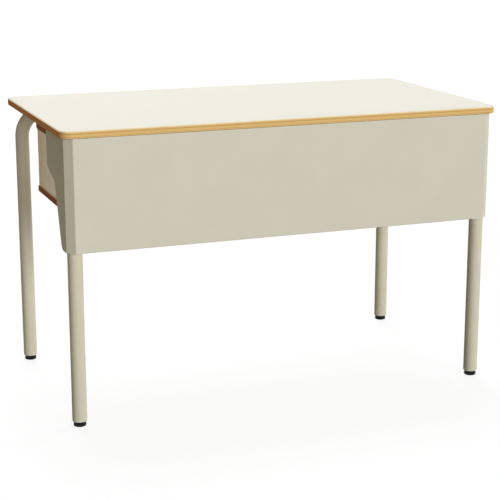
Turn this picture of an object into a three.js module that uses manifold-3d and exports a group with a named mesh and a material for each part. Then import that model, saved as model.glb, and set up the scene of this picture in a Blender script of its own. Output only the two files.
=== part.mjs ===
// A teacher's desk. A laminated plywood top lies on two bent tube frames joined by
// rails, a folded steel panel closes the front, and a drawer unit hangs under the
// left end. Millimetres, +Z up. X runs along the desk, the panel faces -Y and the
// teacher sits on the +Y side. The origin is on the floor under the middle.
import * as THREE from 'three';
import { mergeVertices } from 'three/addons/utils/BufferGeometryUtils.js';
import Module from 'manifold-3d';

const wasm = await Module();
wasm.setup();

// Overall sizes and the laminated top
const deskWidth = 1200;
const deskDepth = 650;
const deskHeight = 765;
const topCornerRadius = 30;
const laminateThickness = 1;
const coreThickness = 17;
const backerThickness = 1;

// Bent tube frames
const tubeDiameter = 38;
const tubeWall = 1.5;
const bendRadius = 70;
const legInsetSide = 34.5;
const legInsetEnd = 35.5;
const legHoleDiameter = 6;
const legHoleHeight = 303;

// Rails between the two frames
const railWidth = 20;
const railHeight = 30;
const railWall = 1.5;
const railDrop = 5;
const outerRailInset = 130;
const middleRailInset = 55;

// Angles and screws that hold the top
const angleThickness = 3;
const angleReach = 28;
const angleDepth = 22;
const angleLength = 40;
const angleInset = 99.5;
const topScrewReach = 12;

// Folded front panel
const panelThickness = 1.5;
const panelInsetFront = 5.3;
const panelInsetSide = 10.5;
const panelChamfer = 20;
const panelBendRadius = 4;
const panelHeight = 288;
const flangeTopDepth = 199;
const shoulderOuterDrop = 102;
const shoulderOuterRadius = 15;
const shoulderInnerDrop = 123;
const shoulderInnerDepth = 121.6;
const shoulderInnerRadius = 20;
const flangeFootDepth = 65.3;
const flangeFootRadius = 20;
const hemDepth = 15;
const hemGapToLeg = 12;

// Brackets and nuts that hold the panel
const bracketThickness = 3;
const bracketLength = 170;
const bracketTopDrop = 98;
const bracketLeafWidth = 30;
const bracketSideDepth = 36;
const bracketCornerRadius = 4;
const nutInset = 40;
const nutAcrossCorners = 11.5;
const nutThickness = 5;
const studDiameter = 6;
const studReach = 12;

// Feet
const footHeight = 14;
const plugLength = 30;
const collarDiameter = 32.5;
const collarWaistDiameter = 30;
const collarHeight = 4.5;
const glideDiameter = 33;
const glideWaistDiameter = 30;
const glideDiscHeight = 7.2;
const glideSoleDiameter = 27;
const glideSoleRise = 2.2;
const stemDiameter = 8;
const stemTopHeight = 36;

// Drawer unit
const boxInsetSide = 55;
const boxWidth = 440;
const boxGapToTube = 12.5;
const boxInsetRear = 143;
const boardThickness = 16;
const boardOverhang = 3;
const boxClearHeight = 159;
const boxBackThickness = 8;
const boxBackInset = 12;
const boxScrewRearInset = 80;
const boxScrewFrontInset = 100;
const boxScrewReach = 8;

// Drawer
const drawerGap = 2;
const drawerFrontThickness = 16;
const runnerSpace = 12.5;
const drawerSideThickness = 12;
const drawerSideHeight = 100;
const drawerRearGap = 4;
const drawerBottomThickness = 5;
const drawerBottomRise = 10;
const grooveDepth = 6;

// Runners and rollers
const runnerRise = 24;
const runnerSheet = 1.2;
const channelClearHeight = 24;
const channelReach = 9.5;
const rollerDiameter = 20;
const rollerWidth = 6.5;
const rollerStandOff = 2.6;
const axleDiameter = 4;
const frontRollerInset = 32;
const rearRollerInset = 14;
const channelEndGap = 4;
const runnerFrontInset = 1;
const seatWidth = 10;
const drawerRunnerRise = 12;

// Handle
const handleDiameter = 10;
const handleSpan = 128;
const handleProjection = 30;
const handleBendRadius = 12;
const handleDrop = 84;
const handleScrewReach = 9;

// Lock
const lockDrop = 22;
const lockBodyDiameter = 18;
const lockRimDiameter = 23;
const lockRimThickness = 2;
const lockRimEase = 0.6;
const lockPlugDiameter = 12;
const lockTailDiameter = 8;
const lockTailReach = 8;
const keySlotWidth = 1.6;
const keySlotHeight = 7;
const keySlotDepth = 5;
const camThickness = 3;
const camWidth = 14;
const camReach = 31;
const camOffset = 1.5;
const camPocketDepth = 10;
const camPocketEase = 1.5;
const camPocketWidth = 46;
const camRoundShare = 0.9;

// Screws used all over
const screwDiameter = 5;
const screwHeadDiameter = 10;
const screwHeadHeight = 3;
const screwHeadTopDiameter = 7;

// Fits and cuts
const slipGap = 0.3;
const cutOverrun = 5;

// How finely round faces are divided
const tubeSides = 24;
const bendSteps = 9;
const cornerSteps = 4;
const drumSides = 24;
const screwSides = 14;
const nutSides = 6;

// Sizes that follow from the ones above
const topUnderside = deskHeight - laminateThickness - coreThickness - backerThickness;
const coreBottom = topUnderside + backerThickness;
const coreTop = coreBottom + coreThickness;
const tubeRadius = tubeDiameter / 2;
const legX = deskWidth / 2 - legInsetSide;
const legY = deskDepth / 2 - legInsetEnd;
const tubeAxisHeight = topUnderside - tubeRadius;
const railTop = topUnderside - railDrop;
const railBottom = railTop - railHeight;
const outerRailX = deskWidth / 2 - outerRailInset;
const angleCentreY = legY - angleInset;
const panelFaceY = -deskDepth / 2 + panelInsetFront;
const panelBackY = panelFaceY + panelThickness;
const panelHalfWidth = deskWidth / 2 - panelInsetSide;
const panelBottomHeight = topUnderside - panelHeight;
const boxLeft = -deskWidth / 2 + boxInsetSide;
const boxRight = boxLeft + boxWidth;
const boxCentreX = (boxLeft + boxRight) / 2;
const middleRailX = boxRight - middleRailInset;
const boxRear = deskDepth / 2 - boxInsetRear;
const boxFront = -legY + tubeRadius + boxGapToTube;
const boxTop = railBottom;
const boxCeiling = boxTop - boardThickness;
const boxFloor = boxCeiling - boxClearHeight;
const boxBottom = boxFloor - boardThickness;
const boxHalfClear = boxWidth / 2 - boardThickness;
const boxScrewRearY = boxRear - boxScrewRearInset;
const boxScrewFrontY = boxFront + boxScrewFrontInset;
const drawerFrontInnerY = boxRear - drawerFrontThickness;
const drawerRearY = boxFront + boxBackInset + boxBackThickness + drawerRearGap;
const drawerHalfWidth = boxHalfClear - runnerSpace;
const drawerBottomEdge = boxFloor + runnerRise - runnerSheet;
const drawerFrontTop = boxCeiling - drawerGap;
const drawerFrontBottom = boxFloor + drawerGap;
const channelFloor = boxFloor + drawerRunnerRise;
const rollerRadius = rollerDiameter / 2;
const rollerHeight = channelFloor + slipGap + rollerRadius;
const frontRollerY = boxRear - frontRollerInset;
const rearRollerY = drawerRearY + rearRollerInset;
const lockHeight = drawerFrontTop - lockDrop;
const handleHeight = drawerFrontTop - handleDrop;
const camY = drawerFrontInnerY - camOffset - camThickness / 2;

// Surface finishes

function finish(name, colour, roughness, metalness) {
  const material = new THREE.MeshStandardMaterial({ color: colour, roughness, metalness });
  material.name = name;
  return material;
}

function creamLaminate() {
  return finish('cream_laminate', '#eee9dd', 0.45, 0);
}

function beechPlywood() {
  return finish('beech_plywood', '#d2a263', 0.5, 0);
}

function backerSheet() {
  return finish('backer_sheet', '#b9ab92', 0.6, 0);
}

function framePaint() {
  return finish('frame_paint', '#c3bdac', 0.4, 0);
}

function panelPaint() {
  return finish('panel_paint', '#cbc6b3', 0.4, 0);
}

function blackPlastic() {
  return finish('black_plastic', '#1c1c1d', 0.5, 0);
}

function zincSteel() {
  return finish('zinc_steel', '#b4b7ba', 0.35, 1);
}

function boardFace() {
  return finish('board_face', '#c9bda2', 0.5, 0);
}

function drawerBoard() {
  return finish('drawer_board', '#d6cbb2', 0.5, 0);
}

function runnerPaint() {
  return finish('runner_paint', '#d9d4c6', 0.4, 0);
}

function rollerPlastic() {
  return finish('roller_plastic', '#e2ded4', 0.45, 0);
}

function satinNickel() {
  return finish('satin_nickel', '#b9b6ae', 0.3, 1);
}

// Solids from three.js shapes

function solidOf(geometry) {
  geometry.deleteAttribute('normal');
  geometry.deleteAttribute('uv');
  const merged = mergeVertices(geometry);
  const corners = [];
  for (let at = 0; at < merged.index.count; at += 3) {
    const triple = [at, at + 1, at + 2].map((place) => merged.index.getX(place));
    if (new Set(triple).size === triple.length) corners.push(...triple);
  }
  const mesh = new wasm.Mesh({
    numProp: 3,
    vertProperties: Float32Array.from(merged.attributes.position.array),
    triVerts: Uint32Array.from(corners),
  });
  return new wasm.Manifold(mesh);
}

function geometryOf(solid) {
  const mesh = solid.getMesh();
  const geometry = new THREE.BufferGeometry();
  geometry.setAttribute('position', new THREE.BufferAttribute(mesh.vertProperties, 3));
  geometry.setIndex(new THREE.BufferAttribute(mesh.triVerts, 1));
  geometry.computeVertexNormals();
  return geometry;
}

function block(xEnds, yEnds, zEnds) {
  const spans = [xEnds, yEnds, zEnds].map(([one, other]) => Math.abs(other - one));
  const middles = [xEnds, yEnds, zEnds].map(([one, other]) => (one + other) / 2);
  return solidOf(new THREE.BoxGeometry(...spans).translate(...middles));
}

function extrudeUp(shape, bottom, top, steps = cornerSteps) {
  const options = { depth: top - bottom, bevelEnabled: false, curveSegments: steps };
  return solidOf(new THREE.ExtrudeGeometry(shape, options).translate(0, 0, bottom));
}

// The shape is drawn in Y and Z and runs along X.
function extrudeAlongX(shape, from, to, steps = cornerSteps) {
  const options = { depth: to - from, bevelEnabled: false, curveSegments: steps };
  const turn = new THREE.Matrix4().makeBasis(
    new THREE.Vector3(0, 1, 0),
    new THREE.Vector3(0, 0, 1),
    new THREE.Vector3(1, 0, 0),
  );
  const geometry = new THREE.ExtrudeGeometry(shape, options).applyMatrix4(turn);
  return solidOf(geometry.translate(from, 0, 0));
}

// The shape is drawn in X and Z and runs along Y.
function extrudeAlongY(shape, from, to, steps = cornerSteps) {
  const options = { depth: to - from, bevelEnabled: false, curveSegments: steps };
  const turn = new THREE.Matrix4().makeBasis(
    new THREE.Vector3(1, 0, 0),
    new THREE.Vector3(0, 0, 1),
    new THREE.Vector3(0, -1, 0),
  );
  const geometry = new THREE.ExtrudeGeometry(shape, options).applyMatrix4(turn);
  return solidOf(geometry.translate(0, to, 0));
}

// A round bar between two points that lie on one axis direction.
function drum(from, to, diameter, sides = drumSides) {
  const axis = new THREE.Vector3().subVectors(to, from);
  const geometry = new THREE.CylinderGeometry(diameter / 2, diameter / 2, axis.length(), sides);
  const up = new THREE.Vector3(0, 1, 0);
  geometry.applyQuaternion(new THREE.Quaternion().setFromUnitVectors(up, axis.clone().normalize()));
  const middle = new THREE.Vector3().addVectors(from, to).multiplyScalar(1 / 2);
  return solidOf(geometry.translate(middle.x, middle.y, middle.z));
}

// A turned solid standing on an axis parallel to Z. The profile lists radius and
// height from the bottom of the axis to its top.
function turned(profile, x, y, sides = drumSides) {
  const points = profile.map(([radius, height]) => new THREE.Vector2(radius, height));
  const geometry = new THREE.LatheGeometry(points, sides);
  return solidOf(geometry.rotateX(Math.PI / 2).translate(x, y, 0));
}

function trapezium(corners) {
  return new THREE.Shape(corners.map(([across, up]) => new THREE.Vector2(across, up)));
}

// A closed outline in which every corner has its own radius.
function roundedOutline(corners) {
  const shape = new THREE.Shape();
  const count = corners.length;
  corners.forEach(([x, y, radius = 0], index) => {
    const here = new THREE.Vector2(x, y);
    const [beforeX, beforeY] = corners[(index + count - 1) % count];
    const [afterX, afterY] = corners[(index + 1) % count];
    const back = new THREE.Vector2(beforeX, beforeY).sub(here).normalize();
    const ahead = new THREE.Vector2(afterX, afterY).sub(here).normalize();
    const halfAngle = Math.acos(back.dot(ahead)) / 2;
    const run = radius / Math.tan(halfAngle);
    const start = here.clone().addScaledVector(back, run);
    const end = here.clone().addScaledVector(ahead, run);
    const bisector = back.clone().add(ahead).normalize();
    const centre = here.clone().addScaledVector(bisector, radius / Math.sin(halfAngle));
    if (index === 0) shape.moveTo(start.x, start.y);
    else shape.lineTo(start.x, start.y);
    if (radius > 0) {
      const startAngle = Math.atan2(start.y - centre.y, start.x - centre.x);
      const endAngle = Math.atan2(end.y - centre.y, end.x - centre.x);
      const clockwise = back.cross(ahead) > 0;
      shape.absarc(centre.x, centre.y, radius, startAngle, endAngle, clockwise);
    }
  });
  shape.closePath();
  return shape;
}

function rectangle(xEnds, yEnds, radius = 0) {
  return roundedOutline([
    [xEnds[0], yEnds[0], radius],
    [xEnds[1], yEnds[0], radius],
    [xEnds[1], yEnds[1], radius],
    [xEnds[0], yEnds[1], radius],
  ]);
}

// A curve through listed places, so a swept tube turns only where it is bent.
class PlaceCurve extends THREE.Curve {
  constructor(places) {
    super();
    this.places = places;
  }

  getPoint(share, target = new THREE.Vector3()) {
    const position = share * (this.places.length - 1);
    const index = Math.min(Math.floor(position), this.places.length - 2);
    return target.lerpVectors(this.places[index], this.places[index + 1], position - index);
  }

  getPointAt(share, target) {
    return this.getPoint(share, target);
  }

  getTangentAt(share, target) {
    return this.getTangent(share, target);
  }
}

// The places of a hoop lying between two ends, bent through a quarter turn twice.
function hoopPlaces(halfSpan, footLevel, barLevel, radius, toPoint) {
  const rising = [toPoint(-halfSpan, footLevel)];
  const towardBar = Math.sign(barLevel - footLevel);
  for (let step = 0; step <= bendSteps; step += 1) {
    const angle = (step / bendSteps) * (Math.PI / 2);
    const across = -halfSpan + radius * (1 - Math.cos(angle));
    const level = barLevel - towardBar * radius * (1 - Math.sin(angle));
    rising.push(toPoint(across, level));
  }
  const falling = [];
  for (let step = bendSteps; step >= 0; step -= 1) {
    const angle = (step / bendSteps) * (Math.PI / 2);
    const across = halfSpan - radius * (1 - Math.cos(angle));
    const level = barLevel - towardBar * radius * (1 - Math.sin(angle));
    falling.push(toPoint(across, level));
  }
  falling.push(toPoint(halfSpan, footLevel));
  return [...rising, ...falling];
}

function circle(diameter, sides) {
  const shape = new THREE.Shape();
  shape.setFromPoints(circlePoints(diameter, sides));
  return shape;
}

function circlePoints(diameter, sides) {
  const points = [];
  for (let step = 0; step < sides; step += 1) {
    const angle = (step / sides) * Math.PI * 2;
    const radius = diameter / 2;
    points.push(new THREE.Vector2(radius * Math.cos(angle), radius * Math.sin(angle)));
  }
  return points;
}

function sweep(shape, places) {
  const options = {
    steps: places.length - 1,
    extrudePath: new PlaceCurve(places),
    bevelEnabled: false,
  };
  return solidOf(new THREE.ExtrudeGeometry(shape, options));
}

// Desktop

function topOutline() {
  const halfWidth = deskWidth / 2;
  const halfDepth = deskDepth / 2;
  return rectangle([-halfWidth, halfWidth], [-halfDepth, halfDepth], topCornerRadius);
}

function topHoles(bottom, top) {
  return anglePlaces().map(({ holeX, y }) => {
    const from = new THREE.Vector3(holeX, y, bottom);
    const to = new THREE.Vector3(holeX, y, top);
    return drum(from, to, screwDiameter + slipGap, screwSides);
  });
}

function desktopLaminate() {
  return extrudeUp(topOutline(), coreTop, deskHeight);
}

function desktopCore() {
  const holeTop = topUnderside + topScrewReach + slipGap;
  const core = extrudeUp(topOutline(), coreBottom, coreTop);
  return topHoles(topUnderside, holeTop).reduce((solid, hole) => solid.subtract(hole), core);
}

function desktopBacker() {
  const backer = extrudeUp(topOutline(), topUnderside, coreBottom);
  const holes = topHoles(topUnderside - cutOverrun, coreBottom + cutOverrun);
  return holes.reduce((solid, hole) => solid.subtract(hole), backer);
}

// Tube frames, legs and top bar bent from one tube each

function tubeFrame(y) {
  const ring = circle(tubeDiameter, tubeSides);
  ring.holes.push(new THREE.Path(circlePoints(tubeDiameter - 2 * tubeWall, tubeSides)));
  const toPoint = (across, level) => new THREE.Vector3(across, y, level);
  const places = hoopPlaces(legX, footHeight, tubeAxisHeight, bendRadius, toPoint);
  const tube = sweep(ring, places);
  return [-1, 1].reduce((solid, side) => {
    const from = new THREE.Vector3(side * legX, y, legHoleHeight);
    const to = new THREE.Vector3(side * (legX - tubeRadius - cutOverrun), y, legHoleHeight);
    return solid.subtract(drum(from, to, legHoleDiameter, screwSides));
  }, tube);
}

// Rails, square tube coped to fit the round tube at both ends

function rail(x) {
  const xEnds = [x - railWidth / 2, x + railWidth / 2];
  const outline = rectangle(xEnds, [railBottom, railTop]);
  const inner = rectangle(
    [xEnds[0] + railWall, xEnds[1] - railWall],
    [railBottom + railWall, railTop - railWall],
  );
  outline.holes.push(inner);
  const tube = extrudeAlongY(outline, -legY, legY);
  const coped = [-legY, legY].reduce((solid, y) => {
    const from = new THREE.Vector3(x - railWidth, y, tubeAxisHeight);
    const to = new THREE.Vector3(x + railWidth, y, tubeAxisHeight);
    return solid.subtract(drum(from, to, tubeDiameter + 2 * slipGap, tubeSides));
  }, tube);
  return boxScrewPlaces()
    .filter((place) => place.x === x)
    .reduce((solid, place) => {
      const from = new THREE.Vector3(place.x, place.y, railBottom - cutOverrun);
      const to = new THREE.Vector3(place.x, place.y, railBottom + railWall + cutOverrun);
      return solid.subtract(drum(from, to, screwDiameter + slipGap, screwSides));
    }, coped);
}

// Angles welded to the outer rails, each with a screw up into the top

function anglePlaces() {
  const places = [];
  for (const [sideName, side] of [['left', -1], ['right', 1]]) {
    for (const [endName, end] of [['front', -1], ['rear', 1]]) {
      const faceX = side * (outerRailX - railWidth / 2);
      places.push({
        name: `${sideName}_${endName}`,
        faceX,
        inward: -side,
        holeX: faceX - (side * (angleReach + angleThickness)) / 2,
        y: end * angleCentreY,
      });
    }
  }
  return places;
}

function topAngle({ faceX, inward, holeX, y }) {
  const profile = trapezium([
    [faceX, topUnderside],
    [faceX, topUnderside - angleDepth],
    [faceX + inward * angleThickness, topUnderside - angleDepth],
    [faceX + inward * angleThickness, topUnderside - angleThickness],
    [faceX + inward * angleReach, topUnderside - angleThickness],
    [faceX + inward * angleReach, topUnderside],
  ]);
  const angle = extrudeAlongY(profile, y - angleLength / 2, y + angleLength / 2);
  const from = new THREE.Vector3(holeX, y, topUnderside - angleThickness - cutOverrun);
  const to = new THREE.Vector3(holeX, y, topUnderside + cutOverrun);
  return angle.subtract(drum(from, to, screwDiameter + slipGap, screwSides));
}

// A screw that points up, its head just under the given seat.
function upwardScrew(x, y, seat, reach) {
  const headBottom = seat - screwHeadHeight;
  return turned(
    [
      [0, headBottom],
      [screwHeadTopDiameter / 2, headBottom],
      [screwHeadDiameter / 2, seat - screwHeadHeight / 2],
      [screwHeadDiameter / 2, seat],
      [screwDiameter / 2, seat],
      [screwDiameter / 2, seat + reach],
      [0, seat + reach],
    ],
    x,
    y,
    screwSides,
  );
}

function topScrew({ holeX, y }) {
  return upwardScrew(holeX, y, topUnderside - angleThickness, angleThickness + topScrewReach);
}

// Front panel, folded from one sheet around both front legs

function panelPlanOutline() {
  const foldShare = Math.tan(Math.PI / 8);
  const foldShift = panelThickness * foldShare;
  const innerRadius = panelBendRadius - panelThickness;
  const flangeEnd = panelFaceY + flangeTopDepth + cutOverrun;
  const foldY = panelFaceY + panelChamfer;
  const faceEdge = panelHalfWidth - panelChamfer;
  const inside = panelHalfWidth - panelThickness;
  return roundedOutline([
    [-panelHalfWidth, flangeEnd],
    [-panelHalfWidth, foldY, panelBendRadius],
    [-faceEdge, panelFaceY, panelBendRadius],
    [faceEdge, panelFaceY, panelBendRadius],
    [panelHalfWidth, foldY, panelBendRadius],
    [panelHalfWidth, flangeEnd],
    [inside, flangeEnd],
    [inside, foldY + foldShift, innerRadius],
    [faceEdge - foldShift, panelBackY, innerRadius],
    [-faceEdge + foldShift, panelBackY, innerRadius],
    [-inside, foldY + foldShift, innerRadius],
    [-inside, flangeEnd],
  ]);
}

// The side view: deep at the top, stepping in at a shoulder, then tapering down.
function panelSideOutline() {
  const behind = panelFaceY - cutOverrun;
  return roundedOutline([
    [behind, topUnderside],
    [behind, panelBottomHeight],
    [panelFaceY + flangeFootDepth, panelBottomHeight, flangeFootRadius],
    [panelFaceY + shoulderInnerDepth, topUnderside - shoulderInnerDrop, shoulderInnerRadius],
    [panelFaceY + flangeTopDepth, topUnderside - shoulderOuterDrop, shoulderOuterRadius],
    [panelFaceY + flangeTopDepth, topUnderside],
  ]);
}

function modestyPanel() {
  const folded = extrudeUp(
    panelPlanOutline(),
    panelBottomHeight - cutOverrun,
    topUnderside + cutOverrun,
  );
  const width = panelHalfWidth + cutOverrun;
  const side = extrudeAlongX(panelSideOutline(), -width, width);
  const hemEnd = legX - tubeRadius - hemGapToLeg;
  const hemYEnds = [panelBackY - panelThickness / 2, panelBackY + hemDepth];
  const bottomHem = block(
    [-hemEnd, hemEnd],
    hemYEnds,
    [panelBottomHeight, panelBottomHeight + panelThickness],
  );
  const topHem = block([-hemEnd, hemEnd], hemYEnds, [topUnderside - panelThickness, topUnderside]);
  return folded.intersect(side).add(bottomHem).add(topHem);
}

// Brackets welded to the front legs, and the nuts on the studs of the panel

function bracketEnds() {
  const top = topUnderside - bracketTopDrop;
  return [top - bracketLength, top];
}

function nutHeights() {
  const [bottom, top] = bracketEnds();
  return { lower: bottom + nutInset, upper: top - nutInset };
}

function nutX(side) {
  const leafInner = legX - tubeRadius - bracketThickness;
  return side * (leafInner - bracketLeafWidth / 2);
}

function panelBracket(side) {
  const [bottom, top] = bracketEnds();
  const tangent = side * (legX - tubeRadius);
  const weldFace = tangent - side * bracketThickness;
  const reach = weldFace - side * bracketLeafWidth;
  const leafBack = panelBackY + bracketThickness;
  const weldLeaf = block([tangent, weldFace], [panelBackY, panelBackY + bracketSideDepth], [bottom, top]);
  const faceOutline = rectangle(
    [Math.min(reach, tangent), Math.max(reach, tangent)],
    [bottom, top],
    bracketCornerRadius,
  );
  const faceLeaf = extrudeAlongY(faceOutline, panelBackY, leafBack);
  const bracket = faceLeaf.add(weldLeaf);
  return Object.values(nutHeights()).reduce((solid, height) => {
    const from = new THREE.Vector3(nutX(side), panelBackY - cutOverrun, height);
    const to = new THREE.Vector3(nutX(side), leafBack + cutOverrun, height);
    return solid.subtract(drum(from, to, studDiameter + 2 * slipGap, screwSides));
  }, bracket);
}

function panelNut(side, height) {
  const x = nutX(side);
  const leafBack = panelBackY + bracketThickness;
  const at = (y) => new THREE.Vector3(x, y, height);
  const nut = drum(at(leafBack), at(leafBack + nutThickness), nutAcrossCorners, nutSides);
  const stud = drum(at(panelBackY), at(panelBackY + studReach), studDiameter, screwSides);
  return nut.add(stud);
}

// Feet: a plastic plug pressed into each leg and a screw-in levelling glide

function footInsert(x, y) {
  const collarBottom = footHeight - collarHeight;
  const plugRadius = tubeDiameter / 2 - tubeWall - slipGap;
  const bodySolid = turned(
    [
      [0, collarBottom],
      [collarWaistDiameter / 2, collarBottom],
      [collarDiameter / 2, footHeight],
      [plugRadius, footHeight],
      [plugRadius, footHeight + plugLength],
      [0, footHeight + plugLength],
    ],
    x,
    y,
  );
  const boreFrom = new THREE.Vector3(x, y, collarBottom - cutOverrun);
  const boreTo = new THREE.Vector3(x, y, stemTopHeight + slipGap);
  return bodySolid.subtract(drum(boreFrom, boreTo, stemDiameter + 2 * slipGap));
}

function levellingGlide(x, y) {
  const neckTop = footHeight - collarHeight - slipGap;
  return turned(
    [
      [0, 0],
      [glideSoleDiameter / 2, 0],
      [glideDiameter / 2, glideSoleRise],
      [glideDiameter / 2, glideDiscHeight],
      [glideWaistDiameter / 2, neckTop],
      [stemDiameter / 2, neckTop],
      [stemDiameter / 2, stemTopHeight],
      [0, stemTopHeight],
    ],
    x,
    y,
  );
}

// Drawer unit: top and bottom boards with wood edges, two sides and a back

function boxScrewPlaces() {
  const places = [];
  for (const [sideName, x] of [['left', -outerRailX], ['right', middleRailX]]) {
    for (const [endName, y] of [['front', boxScrewFrontY], ['rear', boxScrewRearY]]) {
      places.push({ name: `${sideName}_${endName}`, x, y });
    }
  }
  return places;
}

function widthBoard(bottom, top) {
  const xEnds = [boxLeft - boardOverhang, boxRight + boardOverhang];
  return block(xEnds, [boxFront, boxRear], [bottom, top]);
}

function boxTopBoard() {
  const board = widthBoard(boxCeiling, boxTop);
  const pocket = block(
    [boxCentreX - camPocketWidth / 2, boxCentreX + camPocketWidth / 2],
    [camY - camThickness / 2 - camPocketEase, camY + camThickness / 2 + camPocketEase],
    [boxCeiling - cutOverrun, boxCeiling + camPocketDepth],
  );
  return boxScrewPlaces().reduce((solid, { x, y }) => {
    const from = new THREE.Vector3(x, y, boxCeiling - cutOverrun);
    const to = new THREE.Vector3(x, y, boxTop + cutOverrun);
    return solid.subtract(drum(from, to, screwDiameter + slipGap, screwSides));
  }, board.subtract(pocket));
}

function boxBottomBoard() {
  return widthBoard(boxBottom, boxFloor);
}

function boxSide(side) {
  const inner = boxCentreX + side * boxHalfClear;
  return block([inner, inner + side * boardThickness], [boxFront, boxRear], [boxFloor, boxCeiling]);
}

function boxBack() {
  const face = boxFront + boxBackInset;
  return block(
    [boxCentreX - boxHalfClear, boxCentreX + boxHalfClear],
    [face, face + boxBackThickness],
    [boxFloor, boxCeiling],
  );
}

function boxScrew({ x, y }) {
  return upwardScrew(x, y, boxCeiling, boardThickness + boxScrewReach);
}

// Drawer: front, two sides, back, and a bottom held in grooves all round

function drawerBottomBoard(ease) {
  const reach = drawerHalfWidth - drawerSideThickness + grooveDepth + ease;
  const bottom = drawerBottomEdge + drawerBottomRise - ease;
  return block(
    [boxCentreX - reach, boxCentreX + reach],
    [
      drawerRearY + drawerSideThickness - grooveDepth - ease,
      drawerFrontInnerY + grooveDepth + ease,
    ],
    [bottom, bottom + drawerBottomThickness + 2 * ease],
  );
}

function drawerSide(side) {
  const outer = boxCentreX + side * drawerHalfWidth;
  const board = block(
    [outer, outer - side * drawerSideThickness],
    [drawerRearY, drawerFrontInnerY],
    [drawerBottomEdge, drawerBottomEdge + drawerSideHeight],
  );
  return board.subtract(drawerBottomBoard(slipGap));
}

function drawerBack() {
  const reach = drawerHalfWidth - drawerSideThickness;
  const board = block(
    [boxCentreX - reach, boxCentreX + reach],
    [drawerRearY, drawerRearY + drawerSideThickness],
    [drawerBottomEdge, drawerBottomEdge + drawerSideHeight],
  );
  return board.subtract(drawerBottomBoard(slipGap));
}

function alongY(x, z, yFrom, yTo, diameter, sides) {
  return drum(new THREE.Vector3(x, yFrom, z), new THREE.Vector3(x, yTo, z), diameter, sides);
}

function drawerFront() {
  const board = block(
    [boxCentreX - boxHalfClear + drawerGap, boxCentreX + boxHalfClear - drawerGap],
    [drawerFrontInnerY, boxRear],
    [drawerFrontBottom, drawerFrontTop],
  );
  const yFrom = drawerFrontInnerY - cutOverrun;
  const yTo = boxRear + cutOverrun;
  const lockHole = alongY(boxCentreX, lockHeight, yFrom, yTo, lockBodyDiameter + 2 * slipGap);
  const bored = board.subtract(drawerBottomBoard(slipGap)).subtract(lockHole);
  return [-1, 1].reduce((solid, side) => {
    const x = boxCentreX + (side * handleSpan) / 2;
    const hole = alongY(x, handleHeight, yFrom, yTo, screwDiameter + slipGap, screwSides);
    return solid.subtract(hole);
  }, bored);
}

// Runners: a channel on the box side and a folded strip under the drawer side, each
// with a roller. Distances run inward from the inner face of the box side.

function fromBoxSide(side, distance) {
  return boxCentreX + side * (boxHalfClear - distance);
}

function axle(side, fromDistance, toDistance, y) {
  const from = new THREE.Vector3(fromBoxSide(side, fromDistance), y, rollerHeight);
  const to = new THREE.Vector3(fromBoxSide(side, toDistance), y, rollerHeight);
  return drum(from, to, axleDiameter, screwSides);
}

function cabinetRunner(side) {
  const top = channelFloor + channelClearHeight;
  const bottom = channelFloor - runnerSheet;
  const xOf = (distance) => fromBoxSide(side, distance);
  const channel = trapezium([
    [xOf(0), bottom],
    [xOf(channelReach), bottom],
    [xOf(channelReach), channelFloor],
    [xOf(runnerSheet), channelFloor],
    [xOf(runnerSheet), top],
    [xOf(channelReach), top],
    [xOf(channelReach), top + runnerSheet],
    [xOf(0), top + runnerSheet],
  ]);
  const channelEnd = frontRollerY - rollerRadius - channelEndGap;
  const web = block(
    [xOf(0), xOf(runnerSheet)],
    [drawerRearY, drawerFrontInnerY - runnerFrontInset],
    [bottom, top + runnerSheet],
  );
  const pin = axle(side, runnerSheet / 2, rollerStandOff + rollerWidth, frontRollerY);
  return extrudeAlongY(channel, drawerRearY, channelEnd).add(web).add(pin);
}

function drawerRunner(side) {
  const xOf = (distance) => fromBoxSide(side, distance);
  const trackBottom = rollerHeight + rollerRadius + slipGap;
  const webBottom = drawerBottomEdge - runnerSheet;
  const webOuter = runnerSpace - runnerSheet;
  const strip = trapezium([
    [xOf(webOuter), webBottom],
    [xOf(runnerSpace + seatWidth), webBottom],
    [xOf(runnerSpace + seatWidth), drawerBottomEdge],
    [xOf(runnerSpace), drawerBottomEdge],
    [xOf(runnerSpace), trackBottom + runnerSheet],
    [xOf(rollerStandOff), trackBottom + runnerSheet],
    [xOf(rollerStandOff), trackBottom],
    [xOf(webOuter), trackBottom],
  ]);
  const earBottom = rollerHeight - axleDiameter;
  const ear = block(
    [xOf(webOuter), xOf(runnerSpace)],
    [rearRollerY - axleDiameter, rearRollerY + axleDiameter],
    [earBottom, drawerBottomEdge],
  );
  const pin = axle(side, rollerStandOff, runnerSpace - runnerSheet / 2, rearRollerY);
  return extrudeAlongY(strip, drawerRearY, drawerFrontInnerY).add(ear).add(pin);
}

function roller(side, y) {
  const from = new THREE.Vector3(fromBoxSide(side, rollerStandOff), y, rollerHeight);
  const to = new THREE.Vector3(fromBoxSide(side, rollerStandOff + rollerWidth), y, rollerHeight);
  const boreFrom = from.clone().setX(fromBoxSide(side, rollerStandOff - cutOverrun));
  const boreTo = to.clone().setX(fromBoxSide(side, rollerStandOff + rollerWidth + cutOverrun));
  const wheel = drum(from, to, rollerDiameter);
  return wheel.subtract(drum(boreFrom, boreTo, axleDiameter + 2 * slipGap, screwSides));
}

// Handle: a bent round bar held by two screws from inside the drawer

function drawerHandle() {
  const bar = boxRear + handleProjection - handleDiameter / 2;
  const toPoint = (across, level) => new THREE.Vector3(boxCentreX + across, level, handleHeight);
  const places = hoopPlaces(handleSpan / 2, boxRear, bar, handleBendRadius, toPoint);
  const handle = sweep(circle(handleDiameter, screwSides), places);
  return [-1, 1].reduce((solid, side) => {
    const x = boxCentreX + (side * handleSpan) / 2;
    const yTo = boxRear + handleScrewReach + slipGap;
    const hole = alongY(x, handleHeight, boxRear - cutOverrun, yTo, screwDiameter + slipGap, screwSides);
    return solid.subtract(hole);
  }, handle);
}

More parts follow.
